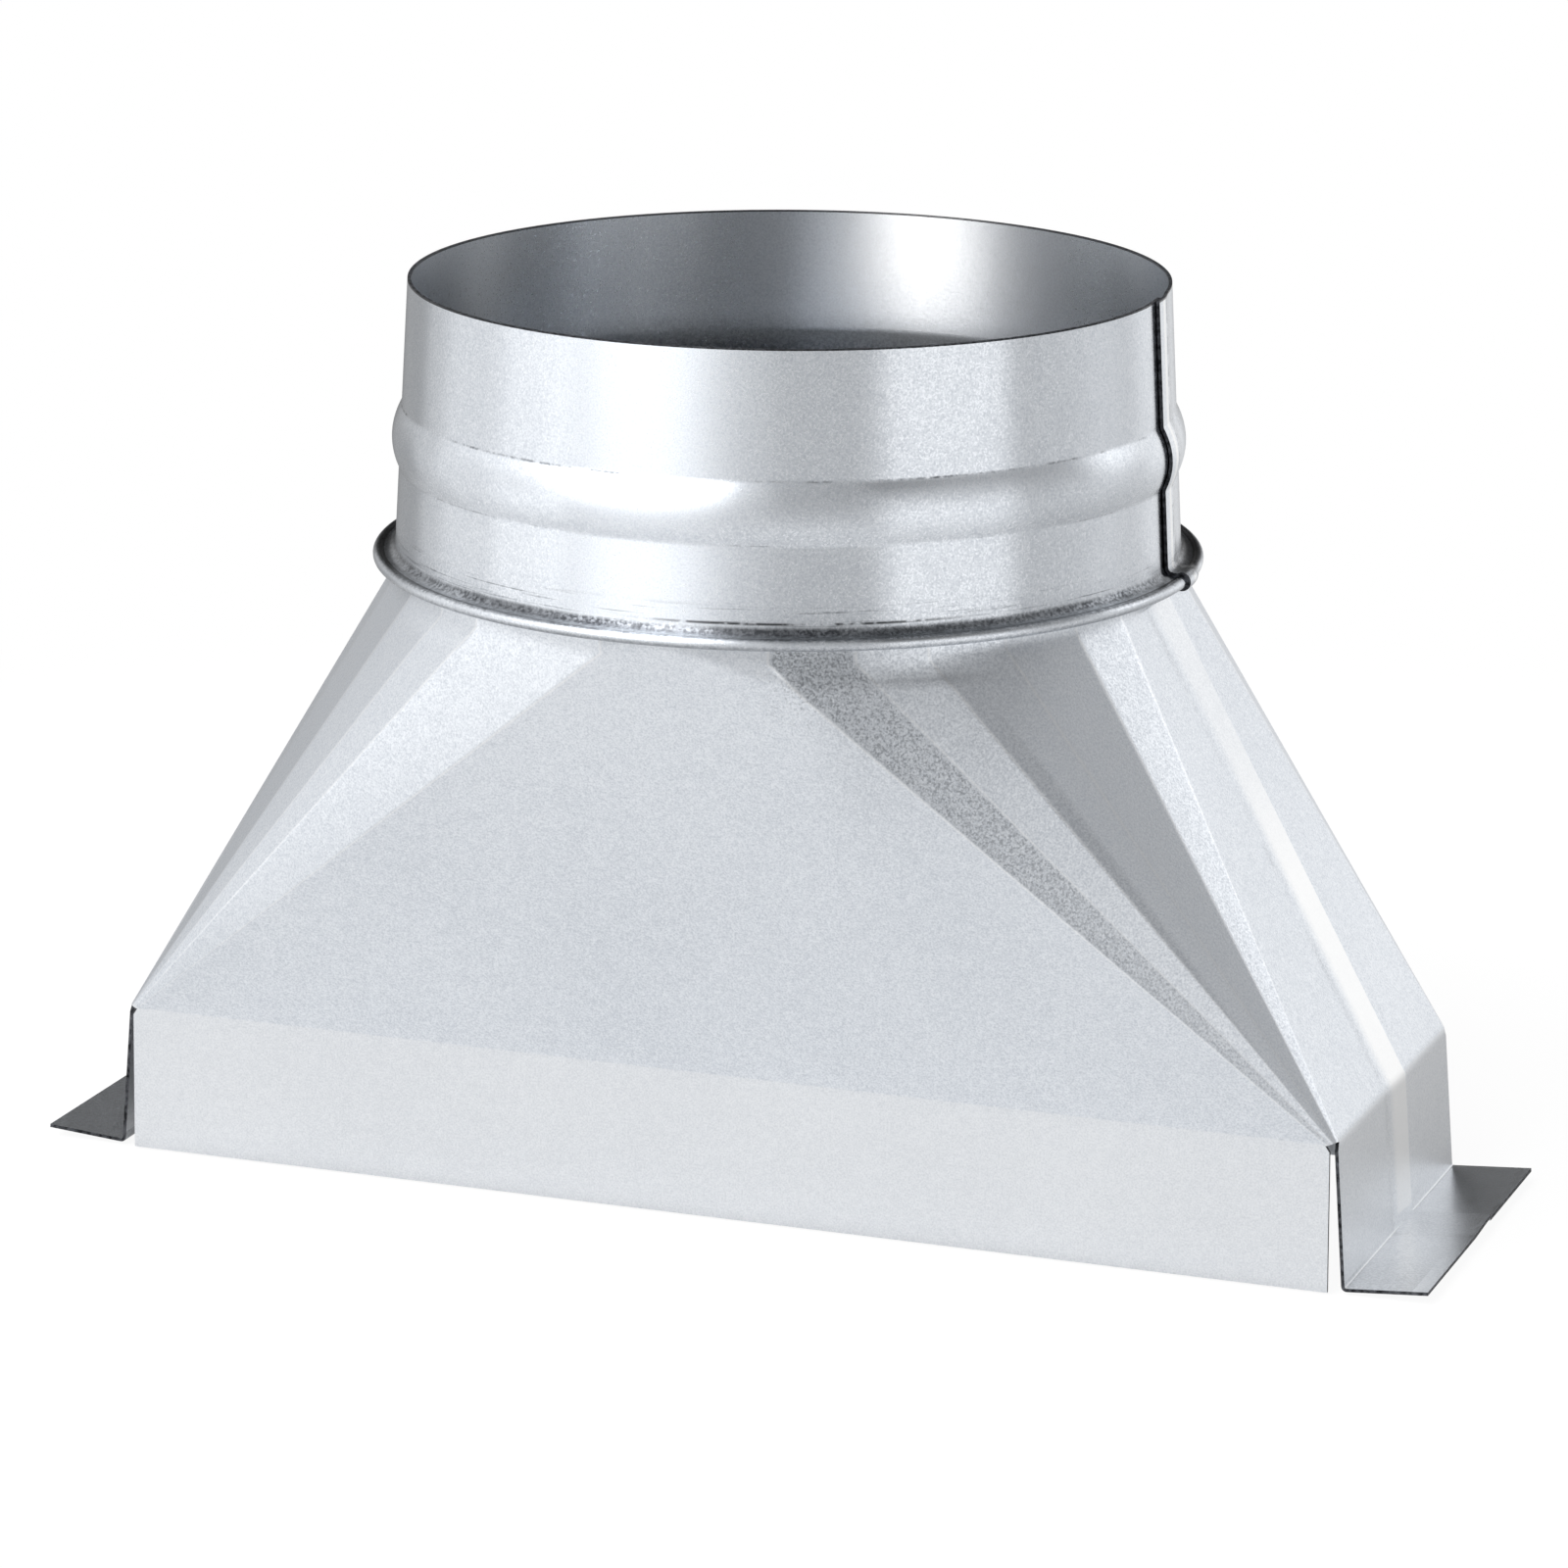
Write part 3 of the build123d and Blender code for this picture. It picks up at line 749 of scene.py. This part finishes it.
def lit_by(nodes, cards, heading, height):
    """The room with only these cards in it."""
    bright = OPEN_STUDIO
    for _, bearing, level, half_width, half_height, border, strength in cards:
        off = nodes.math("PINGPONG", nodes.math("SUBTRACT", heading, bearing), 180.0)
        across = nodes.window(off, half_width, border / 2)
        upright = nodes.line(height, level, half_height, border / 2)
        mask = nodes.math("MULTIPLY", across, upright)
        bright = nodes.add("ShaderNodeMix", {"Factor": mask, "A": bright, "B": float(strength)}).outputs[0]
    return nodes.add("ShaderNodeBackground", {"Color": (1, 1, 1, 1), "Strength": bright}).outputs[0]


def room(nodes, cards, heading, height, low=-180.0, high=180.0):
    """Halves the room, round and then upwards, so that a ray meets only the cards near it."""
    middle = (low + high) / 2
    halves = []
    for start, end in ((low, middle), (middle, high)):
        centre, reach = (start + end) / 2, (end - start) / 2
        near = [card for card in cards
                if abs((card[1] - centre + 180) % 360 - 180) < reach + card[3] + card[5] / 2]
        if high - low > NARROWEST_PART:
            halves.append(room(nodes, near, heading, height, start, end))
            continue
        below = [card for card in near if card[2] - card[4] - card[5] / 2 < EYE_LEVEL]
        above = [card for card in near if card[2] + card[4] + card[5] / 2 > EYE_LEVEL]
        halves.append(nodes.add("ShaderNodeMixShader", {
            0: nodes.math("GREATER_THAN", height, EYE_LEVEL),
            1: lit_by(nodes, below, heading, height), 2: lit_by(nodes, above, heading, height),
        }).outputs[0])
    split = nodes.math("GREATER_THAN", heading, middle)
    return nodes.add("ShaderNodeMixShader", {0: split, 1: halves[0], 2: halves[1]}).outputs[0]


def studio_world():
    """White for the camera, and for all else an even pale room with the cards."""
    world = bpy.data.worlds.new("studio")
    bpy.context.scene.world = world
    world.use_nodes = True
    nodes = Nodes(world.node_tree)
    way = nodes.add("ShaderNodeTexCoord").outputs["Generated"]
    x, y, z = nodes.add("ShaderNodeSeparateXYZ", {0: way}).outputs
    height = nodes.math("MULTIPLY", nodes.math("ARCSINE", z, 0.0), 180 / pi)
    heading = nodes.math("MULTIPLY", nodes.math("ARCTAN2", x, nodes.math("MULTIPLY", y, -1.0)), 180 / pi)
    camera = nodes.add("ShaderNodeLightPath").outputs["Is Camera Ray"]
    white = nodes.add("ShaderNodeBackground", {"Color": (1, 1, 1, 1), "Strength": 1.0}).outputs[0]
    lit = room(nodes, CARDS, heading, height)
    sky = nodes.add("ShaderNodeMixShader", {0: camera, 1: lit, 2: white})
    nodes.add("ShaderNodeOutputWorld", {"Surface": sky.outputs[0]})


def softbox(name, place, size, power):
    """A soft round lamp that looks at the boot's middle."""
    light = bpy.data.lights.new(name, "AREA")
    light.shape, light.size, light.energy = "DISK", size, power
    lamp = bpy.data.objects.new(name, light)
    bpy.context.scene.collection.objects.link(lamp)
    lamp.location = place
    aim = BOOT_MIDDLE - Vector(place)
    lamp.rotation_euler = aim.to_track_quat("-Z", "Y").to_euler()


def photo_camera():
    """The photograph's own view of the boot."""
    level_back = Vector((sin(CAMERA_YAW), -cos(CAMERA_YAW), 0))
    back = level_back * cos(CAMERA_PITCH) + Vector((0, 0, sin(CAMERA_PITCH)))
    right = Vector((cos(CAMERA_YAW), sin(CAMERA_YAW), 0))
    up = back.cross(right)
    place = CAMERA_TARGET + back * CAMERA_DISTANCE + right * CAMERA_SIDESTEP + up * CAMERA_LIFT
    level = right * cos(CAMERA_ROLL) + up * sin(CAMERA_ROLL)
    rise = up * cos(CAMERA_ROLL) - right * sin(CAMERA_ROLL)
    camera = bpy.data.objects.new("camera", bpy.data.cameras.new("camera"))
    bpy.context.scene.collection.objects.link(camera)
    camera.data.lens, camera.data.sensor_width = CAMERA_LENS, 36.0
    camera.data.clip_start = 0.01
    turn = Matrix((level, rise, back)).transposed().to_4x4()
    camera.matrix_world = Matrix.Translation(place) @ turn
    bpy.context.scene.camera = camera


studio_floor()
studio_world()
softbox("front_left_high_softbox", (-0.55, -0.88, 1.2), 1.1, 14)
photo_camera()
bpy.context.scene.view_settings.view_transform = "Standard"
